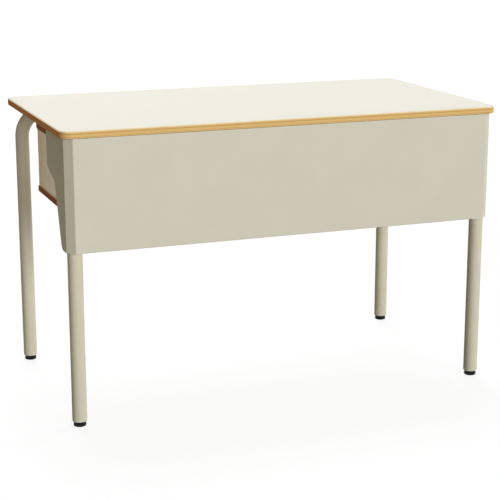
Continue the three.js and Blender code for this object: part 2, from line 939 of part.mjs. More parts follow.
function handleScrew(side) {
  const x = boxCentreX + (side * handleSpan) / 2;
  const head = alongY(
    x,
    handleHeight,
    drawerFrontInnerY - screwHeadHeight,
    drawerFrontInnerY,
    screwHeadDiameter,
    screwSides,
  );
  const shankFrom = drawerFrontInnerY - screwHeadHeight / 2;
  const shank = alongY(x, handleHeight, shankFrom, boxRear + handleScrewReach, screwDiameter, screwSides);
  return head.add(shank);
}

// Lock: a body through the drawer front, a plug that the key turns, and its cam

function lockBody() {
  const rimTop = boxRear + lockRimThickness;
  const body = alongY(boxCentreX, lockHeight, drawerFrontInnerY, rimTop, lockBodyDiameter);
  const rim = alongY(boxCentreX, lockHeight, boxRear, rimTop - lockRimEase, lockRimDiameter);
  const bore = alongY(
    boxCentreX,
    lockHeight,
    drawerFrontInnerY - cutOverrun,
    rimTop + cutOverrun,
    lockPlugDiameter + 2 * slipGap,
  );
  return body.add(rim).subtract(bore);
}

function lockPlug() {
  const face = boxRear + lockRimThickness;
  const plug = alongY(boxCentreX, lockHeight, drawerFrontInnerY, face, lockPlugDiameter);
  const tailFrom = drawerFrontInnerY - lockTailReach;
  const tail = alongY(boxCentreX, lockHeight, tailFrom, face - keySlotDepth, lockTailDiameter);
  const slot = block(
    [boxCentreX - keySlotHeight / 2, boxCentreX + keySlotHeight / 2],
    [face - keySlotDepth, face + cutOverrun],
    [lockHeight - keySlotWidth / 2, lockHeight + keySlotWidth / 2],
  );
  return plug.add(tail).subtract(slot);
}

function lockCam() {
  const eyeRadius = camWidth / 2;
  const tipX = boxCentreX - camReach;
  const outline = rectangle(
    [tipX, boxCentreX + eyeRadius],
    [lockHeight - eyeRadius, lockHeight + eyeRadius],
    eyeRadius * camRoundShare,
  );
  const cam = extrudeAlongY(outline, camY - camThickness / 2, camY + camThickness / 2);
  const hole = alongY(
    boxCentreX,
    lockHeight,
    camY - camThickness - cutOverrun,
    camY + camThickness + cutOverrun,
    lockTailDiameter + 2 * slipGap,
  );
  return cam.subtract(hole);
}

// Assembly

const desk = new THREE.Group();
desk.name = 'teacher_desk';

function place(name, solid, material) {
  const mesh = new THREE.Mesh(geometryOf(solid), material);
  mesh.name = name;
  desk.add(mesh);
}

const sides = [['left', -1], ['right', 1]];
const ends = [['front', -1], ['rear', 1]];

place('desktop_laminate', desktopLaminate(), creamLaminate());
place('desktop_core', desktopCore(), beechPlywood());
place('desktop_backer', desktopBacker(), backerSheet());

for (const [endName, end] of ends) {
  place(`${endName}_tube_frame`, tubeFrame(end * legY), framePaint());
}

place('rail_left', rail(-outerRailX), framePaint());
place('rail_middle', rail(middleRailX), framePaint());
place('rail_right', rail(outerRailX), framePaint());

for (const anglePlace of anglePlaces()) {
  place(`top_angle_${anglePlace.name}`, topAngle(anglePlace), framePaint());
  place(`top_screw_${anglePlace.name}`, topScrew(anglePlace), zincSteel());
}

place('modesty_panel', modestyPanel(), panelPaint());

for (const [sideName, side] of sides) {
  place(`panel_bracket_${sideName}`, panelBracket(side), framePaint());
  for (const [levelName, height] of Object.entries(nutHeights())) {
    place(`panel_nut_${sideName}_${levelName}`, panelNut(side, height), zincSteel());
  }
}

for (const [endName, end] of ends) {
  for (const [sideName, side] of sides) {
    const x = side * legX;
    const y = end * legY;
    place(`foot_insert_${endName}_${sideName}`, footInsert(x, y), blackPlastic());
    place(`levelling_glide_${endName}_${sideName}`, levellingGlide(x, y), blackPlastic());
  }
}

place('box_top_board', boxTopBoard(), boardFace());
place('box_bottom_board', boxBottomBoard(), boardFace());
place('box_back', boxBack(), boardFace());
for (const screwPlace of boxScrewPlaces()) {
  place(`box_screw_${screwPlace.name}`, boxScrew(screwPlace), zincSteel());
}

place('drawer_front', drawerFront(), drawerBoard());
place('drawer_back', drawerBack(), drawerBoard());
place('drawer_bottom', drawerBottomBoard(0), drawerBoard());
place('drawer_handle', drawerHandle(), satinNickel());

for (const [sideName, side] of sides) {
  place(`box_side_${sideName}`, boxSide(side), boardFace());
  place(`drawer_side_${sideName}`, drawerSide(side), drawerBoard());
  place(`cabinet_runner_${sideName}`, cabinetRunner(side), runnerPaint());
  place(`drawer_runner_${sideName}`, drawerRunner(side), runnerPaint());
  place(`cabinet_roller_${sideName}`, roller(side, frontRollerY), rollerPlastic());
  place(`drawer_roller_${sideName}`, roller(side, rearRollerY), rollerPlastic());
  place(`handle_screw_${sideName}`, handleScrew(side), zincSteel());
}

place('lock_body', lockBody(), satinNickel());
place('lock_plug', lockPlug(), satinNickel());
place('lock_cam', lockCam(), zincSteel());

export default desk;
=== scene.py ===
# A teacher's desk: a laminated plywood top on two bent tube frames, a folded steel
# front panel, and a drawer unit on rollers under the left end. Metres, +Z up. The
# panel faces -Y and the teacher sits on the +Y side.
import math
from contextlib import contextmanager

import bmesh
import bpy
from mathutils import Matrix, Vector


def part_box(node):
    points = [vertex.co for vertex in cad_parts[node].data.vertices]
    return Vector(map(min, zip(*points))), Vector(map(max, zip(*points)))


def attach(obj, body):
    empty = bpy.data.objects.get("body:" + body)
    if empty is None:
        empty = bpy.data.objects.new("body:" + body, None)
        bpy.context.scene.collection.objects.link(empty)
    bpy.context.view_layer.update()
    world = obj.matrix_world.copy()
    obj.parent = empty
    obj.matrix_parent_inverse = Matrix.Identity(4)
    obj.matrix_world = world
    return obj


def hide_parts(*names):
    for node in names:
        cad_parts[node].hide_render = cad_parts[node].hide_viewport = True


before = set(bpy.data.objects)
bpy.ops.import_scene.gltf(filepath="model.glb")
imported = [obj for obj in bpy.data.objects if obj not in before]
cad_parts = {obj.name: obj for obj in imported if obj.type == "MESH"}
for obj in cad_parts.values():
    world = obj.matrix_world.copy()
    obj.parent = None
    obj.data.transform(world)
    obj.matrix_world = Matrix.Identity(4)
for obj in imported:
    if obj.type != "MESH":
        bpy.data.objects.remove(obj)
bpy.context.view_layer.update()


# Tube frames. Each pair of legs and the bar between them is one mild steel tube with a
# 1.5 mm wall, bent to a quarter turn at both corners and powder coated pebble grey.
# Each leg has one small jig hole in its inner side.

tube_radius = 0.019
tube_wall = 0.0015
tube_sides = 56
leg_x = 0.5655
leg_y = 0.2895
leg_end = 0.014
bar_height = 0.727
tube_bend_radius = 0.07
tube_bend_steps = 18
tube_rim_ease = 0.0004
jig_hole_height = 0.303
jig_hole_radius = 0.003
jig_hole_margin = 0.008
jig_drill_reach = 1.5 * tube_radius
merge_distance = 0.00001
frame_grey = (224, 220, 203)
frame_grey_deep = (220, 215, 197)


def colour(red, green, blue):
    """A colour picker's red, green and blue as the linear light that a shader takes."""
    channels = [value / 255 for value in (red, green, blue)]
    linear = [c / 12.92 if c <= 0.04045 else ((c + 0.055) / 1.055) ** 2.4 for c in channels]
    return (*linear, 1)


class Reading:
    """A value among shader nodes, which plain arithmetic combines into new ones."""

    def __init__(self, shading, socket):
        self.shading = shading
        self.socket = socket

    def maths(self, operation, *values):
        settings = {"operation": operation}
        return self.shading.node("ShaderNodeMath", settings, dict(enumerate(values)))

    def __add__(self, other):
        return self.maths("ADD", self, other)

    __radd__ = __add__

    def __mul__(self, other):
        return self.maths("MULTIPLY", self, other)

    __rmul__ = __mul__

    def __sub__(self, other):
        return self.maths("SUBTRACT", self, other)

    def __rsub__(self, other):
        return self.maths("SUBTRACT", other, self)

    def __truediv__(self, other):
        return self.maths("DIVIDE", self, other)

    def __mod__(self, other):
        return self.maths("FLOORED_MODULO", self, other)

    def __abs__(self):
        return self.maths("ABSOLUTE", self)

    def floor(self):
        return self.maths("FLOOR", self)

    def ramp(self, start, end):
        """0 below start and 1 above end, or turned round where start is the higher."""
        limits = {"Value": self, "From Min": start, "From Max": end}
        return self.shading.node("ShaderNodeMapRange", {}, limits)


class Shading:
    """The shader nodes of a material or of the sky, added one by one."""

    def __init__(self, owner):
        owner.use_nodes = True
        self.nodes = owner.node_tree.nodes
        self.links = owner.node_tree.links

    def node(self, kind, settings, values, output=0):
        """Add a node of any kind, with its settings and what its sockets take."""
        made = self.nodes.new(kind)
        for name, setting in settings.items():
            if name == "stops":
                self.set_stops(made.color_ramp, setting)
            else:
                setattr(made, name, setting)
        for socket, value in values.items():
            self.fill(made.inputs[socket], value)
        return Reading(self, made.outputs[output])

    def set_stops(self, ramp, stops):
        """Give a ramp its colours, each even from its own stop to the next."""
        ramp.interpolation = "CONSTANT"
        while len(ramp.elements) < len(stops):
            ramp.elements.new(1)
        for element, (position, tint) in zip(ramp.elements, stops):
            element.position = position
            element.color = tint

    def fill(self, socket, value):
        """Link a reading to a socket, or set it to a plain value."""
        if isinstance(value, Reading):
            self.links.new(value.socket, socket)
        else:
            socket.default_value = value

    def mix(self, share, first, second):
        """The first colour where the share is 0, and the second where it is 1."""
        values = {0: share, 6: first, 7: second}
        return self.node("ShaderNodeMix", {"data_type": "RGBA"}, values, 2)


class Finish(Shading):
    """A material whose nodes feed its main shader, by their place on the piece."""

    def __init__(self, name, **constants):
        self.material = bpy.data.materials.new(name)
        super().__init__(self.material)
        self.shader = self.nodes["Principled BSDF"]
        self.set(**constants)
        self.place = self.node("ShaderNodeTexCoord", {}, {}, "Object")

    def stretched(self, x, y, z):
        """The place on the piece, with its three directions scaled one by one."""
        return self.node("ShaderNodeMapping", {}, {"Vector": self.place, "Scale": (x, y, z)})

    def noise(self, scale, detail=2, place=None):
        """A cloudy pattern, finer with a larger scale and rougher with more detail."""
        values = {"Vector": place or self.place, "Scale": scale, "Detail": detail}
        return self.node("ShaderNodeTexNoise", {}, values)

    def set(self, **values):
        """Give the main shader's sockets a constant or a link each."""
        for socket, value in values.items():
            self.fill(self.shader.inputs[socket.replace("_", " ")], value)

    def raise_by(self, height, depth, strength=1):
        """Raise the skin where the height is 1, by a depth in metres."""
        values = {"Height": height, "Distance": depth, "Strength": strength}
        self.set(Normal=self.node("ShaderNodeBump", {}, values))


def powder_coat(name, light, deep):
    """Baked powder paint: nearly even, with the faint ripple that it sets to."""
    paint = Finish(name, IOR=1.4, Specular_IOR_Level=0.1)
    cloud = paint.noise(scale=9, detail=3)
    ripple = paint.noise(scale=420)
    grain = paint.noise(scale=1900, detail=1)
    paint.set(
        Base_Color=paint.mix(cloud.ramp(0.3, 0.7), colour(*deep), colour(*light)),
        Roughness=0.6 + 0.12 * ripple + 0.04 * cloud,
    )
    paint.raise_by(ripple * 0.8 + grain * 0.2, depth=0.00006, strength=0.7)
    return paint.material


frame_paint = powder_coat("frame_powder_coat", frame_grey, frame_grey_deep)


def only(piece):
    """Select one piece and nothing else."""
    bpy.ops.object.select_all(action="DESELECT")
    piece.select_set(True)
    bpy.context.view_layer.objects.active = piece


def add(name, primitive, **settings):
    """Add a primitive at its size and place, with its place moved into its mesh."""
    bpy.ops.object.select_all(action="DESELECT")
    primitive(**settings)
    piece = bpy.context.object
    piece.name = name
    only(piece)
    bpy.ops.object.transform_apply()
    return piece


@contextmanager
def editing(piece):
    """Work on a piece in edit mode, with nothing selected at first."""
    only(piece)
    bpy.ops.object.mode_set(mode="EDIT")
    bpy.ops.mesh.select_mode(type="VERT")
    bpy.ops.mesh.select_all(action="DESELECT")
    yield
    bpy.ops.object.mode_set(mode="OBJECT")


def choose(kind, test):
    """Select the points, edges or faces that pass a test.

    It is given a point, the two ends of an edge, or a face's middle and normal.
    """
    bpy.ops.mesh.select_all(action="DESELECT")
    bpy.ops.mesh.select_mode(type=kind)
    mesh = bmesh.from_edit_mesh(bpy.context.object.data)
    mesh.normal_update()
    if kind == "VERT":
        chosen = [point for point in mesh.verts if test(point.co)]
    elif kind == "EDGE":
        chosen = [edge for edge in mesh.edges if test(*[point.co for point in edge.verts])]
    else:
        chosen = [face for face in mesh.faces if test(face.calc_center_median(), face.normal)]
    for part in chosen:
        part.select_set(True)
    mesh.select_flush_mode()
    bmesh.update_edit_mesh(bpy.context.object.data)


def extrude(x, y, z):
    """Draw what is selected out by the given distances."""
    bpy.ops.mesh.extrude_region_move(TRANSFORM_OT_translate={"value": (x, y, z)})


def round_edges(test, offset, segments):
    """Round the edges that pass a test, or chamfer them with a single segment."""
    choose("EDGE", test)
    bpy.ops.mesh.bevel(offset=offset, segments=segments, affect="EDGES")


def modify(piece, kind, **settings):
    """Give a piece a modifier, and apply it."""
    only(piece)
    modifier = piece.modifiers.new(kind, kind)
    for name, setting in settings.items():
        setattr(modifier, name, setting)
    bpy.ops.object.modifier_apply(modifier=modifier.name)


def thicken(piece, wall):
    """Give a drawn skin its wall, on the inner side."""
    modify(piece, "SOLIDIFY", thickness=wall, offset=-1, use_even_offset=True)


def cut(piece, cutter):
    """Take the shape of a cutter out of a piece."""
    modify(piece, "BOOLEAN", object=cutter, operation="DIFFERENCE", solver="EXACT")
    only(cutter)
    bpy.ops.object.delete()


def smooth(piece, angle=35):
    """Shade the round faces smooth, and keep every flat face truly flat."""
    only(piece)
    bpy.ops.object.shade_smooth_by_angle(angle=math.radians(angle))
    modify(piece, "WEIGHTED_NORMAL", keep_sharp=True, weight=100)


def lying_along(way):
    """The turn that lays an upright piece along the axis of its way."""
    return (0, math.pi / 2, 0) if way[0] else (math.pi / 2, 0, 0) if way[1] else (0, 0, 0)


def bar(name, radius, start, end, sides=24):
    """A round bar between two points that share two of their three coordinates."""
    run = [b - a for a, b in zip(start, end)]
    return add(
        name,
        bpy.ops.mesh.primitive_cylinder_add,
        vertices=sides,
        radius=radius,
        depth=abs(sum(run)),
        location=[(a + b) / 2 for a, b in zip(start, end)],
        rotation=lying_along(run),
    )


def wear(piece, *materials):
    """Take a piece's materials off, and give it these."""
    piece.data.materials.clear()
    for material in materials:
        piece.data.materials.append(material)


def settle(piece, body, slot, *nodes):
    """Let a finished piece ride on its body and stand for its CAD nodes."""
    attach(piece, body)
    if nodes:
        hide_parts(*nodes)


def twin(piece, name, x=0, y=0, z=0):
    """A copy with a mesh of its own, moved by the given distances."""
    only(piece)
    bpy.ops.object.duplicate()
    copy = bpy.context.object
    copy.name = name
    bpy.ops.transform.translate(value=(x, y, z))
    bpy.ops.object.transform_apply()
    return copy


def quarter_bend(centre, axis, steps):
    """Carry the selected ring of edges round a quarter turn, as a tube bender does."""
    bpy.ops.mesh.spin(steps=steps, angle=-math.pi / 2, center=centre, axis=axis)


def ring(name, radius, sides, place, way=(0, 0, 1), filled=False):
    """A circle of points across its way, open or filled with one face."""
    return add(
        name,
        bpy.ops.mesh.primitive_circle_add,
        vertices=sides,
        radius=radius,
        fill_type="NGON" if filled else "NOTHING",
        location=place,
        rotation=lying_along(way),
    )


def close_up():
    """Merge the points that coincide, and turn every face outwards."""
    bpy.ops.mesh.select_all(action="SELECT")
    bpy.ops.mesh.remove_doubles(threshold=merge_distance)
    bpy.ops.mesh.normals_make_consistent(inside=False)


def near(a, b, slack=2 * merge_distance):
    """Tell whether two places along an axis are the same, but for rounding."""
    return abs(a - b) < slack


def at(**places):
    """A test for the points, and the edges with both ends, at places along the axes."""

    def passes(*points):
        spots = [(getattr(point, axis), places[axis]) for point in points for axis in places]
        return all(near(*spot) for spot in spots)

    return passes


front_tube = ring("bent_tube_front", tube_radius, tube_sides, (-leg_x, -leg_y, leg_end))
bend_start = bar_height - tube_bend_radius
hole_low = jig_hole_height - jig_hole_margin
hole_high = jig_hole_height + jig_hole_margin
bend_x = leg_x - tube_bend_radius
rises = [hole_low - leg_end, hole_high - hole_low, bend_start - hole_high]
with editing(front_tube):
    bpy.ops.mesh.select_all(action="SELECT")
    for rise in rises:
        extrude(0, 0, rise)
    quarter_bend((-bend_x, -leg_y, bend_start), (0, 1, 0), tube_bend_steps)
    extrude(2 * bend_x, 0, 0)
    quarter_bend((bend_x, -leg_y, bend_start), (0, 1, 0), tube_bend_steps)
    for rise in reversed(rises):
        extrude(0, 0, -rise)
    close_up()
thicken(front_tube, tube_wall)
with editing(front_tube):
    round_edges(at(z=leg_end), tube_rim_ease, segments=2)
for side in (-1, 1):
    inner = side * (leg_x - jig_drill_reach)
    ends = [(x, -leg_y, jig_hole_height) for x in (side * leg_x, inner)]
    cut(front_tube, bar("jig_drill", jig_hole_radius, *ends))
smooth(front_tube)
wear(front_tube, frame_paint)
rear_tube = twin(front_tube, "bent_tube_rear", y=2 * leg_y)
settle(front_tube, "desk", "frame_paint", "front_tube_frame")
settle(rear_tube, "desk", "frame_paint", "rear_tube_frame")


# Rails. Three lengths of rectangular steel tube run from front to rear, their ends
# milled to the round tubes and welded all round. They carry the top and the drawer unit.

rail_places = {"rail_left": -0.47, "rail_middle": -0.16, "rail_right": 0.47}
rail_width = 0.02
rail_low, rail_high = 0.711, 0.741
rail_wall = 0.0015
rail_corner = 0.0025
weld_gap = 0.0003
weld_radius = 0.0019
coping_mill_sides = 160
square_on = 0.9


def block(name, low, high):
    """A plain block between two opposite corners."""
    middle = [(a + b) / 2 for a, b in zip(low, high)]
    size = [b - a for a, b in zip(low, high)]
    return add(name, bpy.ops.mesh.primitive_cube_add, size=1, location=middle, scale=size)


def edges_along(axis):
    """A test for the straight edges that run along an axis."""
    others = [other for other in "xyz" if other != axis]
    return lambda a, b: all(near(getattr(a, other), getattr(b, other)) for other in others)


def faces_along(axis):
    """A test for the faces that look along an axis, either way."""
    return lambda middle, facing: abs(getattr(facing, axis)) > square_on


def bead_coat(name, light, deep):
    """The frame's paint over the scale-like ripples of a weld."""
    paint = Finish(name, IOR=1.45)
    scales = paint.noise(scale=260, detail=1)
    paint.set(
        Base_Color=paint.mix(scales, colour(*deep), colour(*light)),
        Roughness=0.36 + 0.1 * scales,
    )
    paint.raise_by(scales, depth=0.0008)
    return paint.material


weld_paint = bead_coat("weld_powder_coat", frame_grey, frame_grey_deep)


def weld(piece, name, test):
    """Lay a weld bead along the edges of a piece that pass a test."""
    seam = twin(piece, name)
    with editing(seam):
        choose("EDGE", test)
        bpy.ops.mesh.select_all(action="INVERT")
        bpy.ops.mesh.delete(type="EDGE")
    only(seam)
    bpy.ops.object.convert(target="CURVE")
    seam.data.bevel_depth = weld_radius
    seam.data.bevel_resolution = 2
    seam.data.use_fill_caps = True
    bpy.ops.object.convert(target="MESH")
    smooth(seam, angle=60)
    wear(seam, weld_paint)
    settle(seam, "desk", "frame_paint")


def on_rail_end(x, skin=0.0004):
    """Tell the edges of a rail's milled ends that lie on its outer skin."""
    half_width = rail_width / 2 - rail_corner
    half_height = (rail_high - rail_low) / 2 - rail_corner

    def outside(point):
        across = abs(point.x - x) - half_width
        up = abs(point.z - (rail_low + rail_high) / 2) - half_height
        past_corner = math.hypot(max(across, 0), max(up, 0))
        depth = past_corner + min(max(across, up), 0) - rail_corner
        reach = math.hypot(abs(point.y) - leg_y, point.z - bar_height)
        return abs(depth) < skin and near(reach, tube_radius + weld_gap)

    return lambda a, b: outside(a) and outside(b)


first_x = rail_places["rail_left"]
first_rail = block(
    "cross_rail",
    (first_x - rail_width / 2, -leg_y, rail_low),
    (first_x + rail_width / 2, leg_y, rail_high),
)
with editing(first_rail):
    round_edges(edges_along("y"), rail_corner, segments=4)
    choose("FACE", faces_along("y"))
    bpy.ops.mesh.delete(type="FACE")
thicken(first_rail, rail_wall)
for y in (-leg_y, leg_y):
    ends = [(first_x + x, y, bar_height) for x in (-rail_width, rail_width)]
    cut(first_rail, bar("coping_mill", tube_radius + weld_gap, *ends, coping_mill_sides))
smooth(first_rail)
wear(first_rail, frame_paint)
for node, x in rail_places.items():
    rail = twin(first_rail, f"cross_{node}", x=x - first_x)
    weld(rail, f"{node}_welds", on_rail_end(x))
    settle(rail, "desk", "frame_paint", node)
only(first_rail)
bpy.ops.object.delete()


# Top angles. Four short steel angles are welded to the inner faces of the outer rails,
# and a pan-head screw goes up through each into the plywood.

angle_face_x = 0.46
angle_reach = 0.028
angle_drop = 0.022
angle_length = 0.04
angle_y = 0.19
angle_thickness = 0.003
angle_root = 0.0035
top_underside = 0.746
top_screw_x = 0.4445
top_screw_reach = 0.015
screw_radius = 0.0025
screw_pitch = 0.0018
screw_root_radius = 0.00195
screw_tip_radius = 0.0005
screw_head_radius = 0.005
screw_head_height = 0.003
screw_head_shares = [(0.62, 1), (0.88, 0.82), (1, 0.4), (1, 0)]
recess_width = 0.0011
recess_length = 0.0052
recess_depth = 0.0016
zinc_blue = (178, 184, 190)
zinc_pale = (214, 214, 208)
left_right = {"left": -1, "right": 1}
front_rear = {"front": -1, "rear": 1}


def keep_faces(*ways):
    """Delete a block's faces, but for those that look one of the given ways."""
    choose("FACE", lambda middle, facing: max(facing.dot(way) for way in ways) < square_on)
    bpy.ops.mesh.delete(type="FACE")


def folded(name, low, high, kept, thickness, root):
    """A bent plate, made from two faces of a block that meet in one edge."""
    plate = block(name, low, high)
    with editing(plate):
        keep_faces(*kept)
        choose("EDGE", lambda a, b: True)
        bpy.ops.mesh.region_to_loop()
        bpy.ops.mesh.select_all(action="INVERT")
        bpy.ops.mesh.bevel(offset=root, segments=6, affect="EDGES")
    thicken(plate, thickness)
    smooth(plate)
    return plate


def turned(name, base, way, profile, sides, hollow=False):
    """A piece turned on a lathe: rings drawn along its axis, each scaled to its radius.

    Its profile is a list of radii and of how far along the way from the base each lies.
    """
    first_radius, first_run = profile[0]
    spot = [b + w * first_run for b, w in zip(base, way)]
    piece = ring(name, first_radius, sides, spot, way, filled=not hollow)
    with editing(piece):
        bpy.ops.mesh.select_all(action="SELECT")
        for (before, start), (after, end) in zip(profile, profile[1:]):
            extrude(*[w * (end - start) for w in way])
            spot = [b + w * end for b, w in zip(base, way)]
            share = after / before
            bpy.ops.transform.resize(value=(share, share, share), center_override=spot)
        close_up()
    return piece


def zinc_plate(name):
    """Blue-bright zinc: a fine crystalline bloom over turned steel."""
    plate = Finish(name, Metallic=1)
    bloom = plate.noise(scale=340, detail=3)
    turning = plate.noise(scale=900, detail=1, place=plate.stretched(1, 1, 6))
    plate.set(
        Base_Color=plate.mix(bloom, colour(*zinc_blue), colour(*zinc_pale)),
        Roughness=0.24 + 0.2 * bloom,
    )
    plate.raise_by(turning, depth=0.00002)
    return plate.material


zinc = zinc_plate("bright_zinc")


def pan_screw(name, seat, way, reach):
    """A pan-head screw whose shank runs on from its seat, with a cross recess."""
    profile = [
        (screw_head_radius * across, -screw_head_height * above)
        for across, above in screw_head_shares
    ]
    for step in range(int(reach / screw_pitch)):
        profile.append((screw_radius, step * screw_pitch))
        profile.append((screw_root_radius, (step + 0.5) * screw_pitch))
    profile.append((screw_tip_radius, reach))
    screw = turned(name, seat, way, profile, sides=24)
    crown = [s - w * screw_head_height for s, w in zip(seat, way)]
    for slot_axis in (axis for axis in range(3) if not way[axis]):
        half = [recess_depth if w else recess_width / 2 for w in way]
        half[slot_axis] = recess_length / 2
        low = [c - h for c, h in zip(crown, half)]
        high = [c + h for c, h in zip(crown, half)]
        cut(screw, block("driver_bit", low, high))
    smooth(screw)
    wear(screw, zinc)
    return screw


for side_name, side in left_right.items():
    for end_name, end in front_rear.items():
        corner = f"{side_name}_{end_name}"
        edges = sorted((side * angle_face_x, side * (angle_face_x - angle_reach)))
        y = end * angle_y
        angle = folded(
            f"welded_angle_{corner}",
            (edges[0], y - angle_length / 2, top_underside - angle_drop),
            (edges[1], y + angle_length / 2, top_underside),
            [(0, 0, 1), (side, 0, 0)],
            angle_thickness,
            angle_root,
        )
        screw = pan_screw(
            f"top_screw_{corner}_turned",
            (side * top_screw_x, y, top_underside - angle_thickness),
            (0, 0, 1),
            top_screw_reach,
        )
        seam = at(x=side * angle_face_x, z=top_underside - angle_drop)
        weld(angle, f"angle_weld_{corner}", seam)
        wear(angle, frame_paint)
        settle(angle, "desk", "frame_paint", f"top_angle_{corner}")
        settle(screw, "desk", "zinc_steel", f"top_screw_{corner}")


# Desktop. A plywood board with a thin decorative laminate bonded on top and a plain
# balancing sheet below, cut to shape together, its bare edge sanded and oiled all round.

top_corner = 0.03
top_corner_steps = 20
top_break = 0.0024
under_break = 0.0016
break_round = 0.0004
break_rim = 0.00002
laminate_white = (240, 237, 227)
laminate_white_deep = (239, 236, 225)
# Cream, lighter than the laminate's face: the cut edge's own tone plus a painted highlight along
# the eased arris.
laminate_edge_highlight_cream = (252, 235, 195)
# The balancing sheet's brown core edge, darkened further to paint the shadow line under the
# top's edge.
backer_edge_shadow_brown = (134, 98, 58)
top_ply_tones = {
    "light": (251, 225, 166),
    "golden": (229, 183, 106),
    "dark": (190, 138, 74),
    # Sideways edges: a darker, more orange end grain tone, partly painted shade.
    "end grain": (212, 128, 58),
}
top_ply_shades = [0.15, 0.95, 0.45, 0.55, 0.4, 1.0, 0.65, 0.4, 0.0]
backer_tan = (196, 184, 158)


def decorative_laminate(name, light, deep):
    """Satin melamine-faced laminate: almost plain, with a very fine pebbled skin."""
    sheet = Finish(name, IOR=1.5)
    cloud = sheet.noise(scale=45, detail=3)
    pebble = sheet.noise(scale=1500)
    sheet.set(
        Base_Color=sheet.mix(cloud.ramp(0.35, 0.65), colour(*deep), colour(*light)),
        Roughness=0.36 + 0.12 * pebble,
    )
    sheet.raise_by(pebble, depth=0.00003, strength=0.6)
    return sheet.material


def dimmed(tone, share):
    """A colour picker's tone with that share of its brightness."""
    return [value * share for value in tone]


def laminate_edge(name, tone):
    """The cut edge of a laminate, with the faint lines of its paper layers."""
    edge = Finish(name, IOR=1.5)
    layers = edge.noise(scale=500, place=edge.stretched(0.1, 0.1, 14))
    edge.set(
        Base_Color=edge.mix(layers, colour(*dimmed(tone, 0.94)), colour(*tone)),
        Roughness=0.45 + 0.15 * layers,
    )
    edge.raise_by(layers, depth=0.00004)
    return edge.material


def ply_edge(name, axis, low, high, shades, tones):
    """A plywood edge finished in oil: plies lie crosswise by turns, with thin glue lines, and
    sideways faces take a darker end grain tone with painted shade.
    """
    plies = len(shades)
    light, golden, dark, ends = [colour(*tone) for tone in tones.values()]
    edge = Finish(name, IOR=1.3, Specular_IOR_Level=0.1)

    def by_the_plies(through, along):
        """The place, with one scale through the plies and another along them."""
        return edge.stretched(*[through if axis == way else along for way in "XYZ"])

    across = edge.node("ShaderNodeSeparateXYZ", {}, {"Vector": edge.place}, axis)
    crosswise = "Y" if axis == "X" else "X"
    waver = edge.noise(scale=7)
    height = (across - low) * (plies / (high - low)) + waver * 0.3 - 0.15
    number = height.floor()
    within = height - number
    facing = edge.node("ShaderNodeNewGeometry", {}, {}, "Normal")
    sideways = abs(edge.node("ShaderNodeSeparateXYZ", {}, {"Vector": facing}, crosswise))
    lengthwise = abs(number % 2 - sideways.ramp(0.3, 0.7))
    streaks = edge.noise(scale=1, detail=5, place=by_the_plies(through=1500, along=16))
    pores = edge.noise(scale=1, detail=3, place=by_the_plies(through=2600, along=60))
    speckle = edge.noise(scale=1700, detail=3)
    stops = [(ply / plies, (shade, shade, shade, 1)) for ply, shade in enumerate(shades)]
    share = (number + 0.5) / plies
    tone = edge.node("ShaderNodeValToRGB", {"stops": stops}, {"Fac": share})
    grain = streaks * lengthwise + speckle * (1 - lengthwise)
    glue = abs(within - 0.5).ramp(0.44, 0.5)
    wood = edge.mix(0.7 * tone + 0.3 * grain.ramp(0.3, 0.75), light, golden)
    lined = edge.mix(0.55 * tone * tone, wood, dark)
    # Faces that look sideways mix in the shaded end tone: end grain, and painted shade.
    side_shaded = edge.mix(sideways.ramp(0.85, 1) * (0.55 + 0.35 * tone), lined, ends)
    veined = edge.mix(0.4 * pores.ramp(0.56, 0.7) + 0.15 * glue, side_shaded, dark)
    edge.set(Base_Color=veined, Roughness=0.6 + 0.16 * grain)
    edge.raise_by(grain * 0.7 - glue * 0.5, depth=0.00012)
    return edge.material


white_laminate = decorative_laminate("white_laminate", laminate_white, laminate_white_deep)
# The cream laminate edge carries a painted highlight along the top's rim.
highlight_cream_edge = laminate_edge("laminate_edge", laminate_edge_highlight_cream)
# Painted shadow: the brown edge stands for the shade line under the top as well as the backer's
# own edge.
shadow_line_brown_edge = laminate_edge("balancing_edge_shadow_line", backer_edge_shadow_brown)
backer_tan_deep = dimmed(backer_tan, 0.97)
backer_laminate = decorative_laminate("balancing_laminate", backer_tan, backer_tan_deep)


def slab(name, low, high, set_in=0):
    """A board the shape of the desktop, its four corners rounded."""
    low = (low[0] + set_in, low[1] + set_in, low[2])
    high = (high[0] - set_in, high[1] - set_in, high[2])
    board = block(name, low, high)
    with editing(board):
        round_edges(edges_along("z"), top_corner - set_in, top_corner_steps)
    return board


def ease(piece, height, offset, segments=1):
    """Break the edge that runs round a board at one height."""
    with editing(piece):
        round_edges(at(z=height), offset, segments)


def paint_faces(piece, number, test):
    """Give the faces that pass a test the piece's material of that number."""
    with editing(piece):
        choose("FACE", test)
        bpy.context.object.active_material_index = number
        bpy.ops.object.material_slot_assign()


def round_the_rim(middle, facing):
    """Tell the faces round a sheet's rim from its two flat ones."""
    return abs(facing.z) < 0.8


def on_upper_break(middle, facing):
    """Tell the sloping faces just under the laminate."""
    return 0.3 < facing.z < 0.9


laminate_low, laminate_high = [corner.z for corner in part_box("desktop_laminate")]
laminate_run = laminate_high - laminate_low
laminate_set_in = top_break - laminate_run
top_sheet = slab("desktop_white_laminate", *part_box("desktop_laminate"), laminate_set_in)
ease(top_sheet, laminate_high, laminate_run - break_rim)
ease(top_sheet, laminate_high, break_round, 3)
wear(top_sheet, white_laminate, highlight_cream_edge)
paint_faces(top_sheet, 1, round_the_rim)
smooth(top_sheet)
settle(top_sheet, "desk", "cream_laminate", "desktop_laminate")

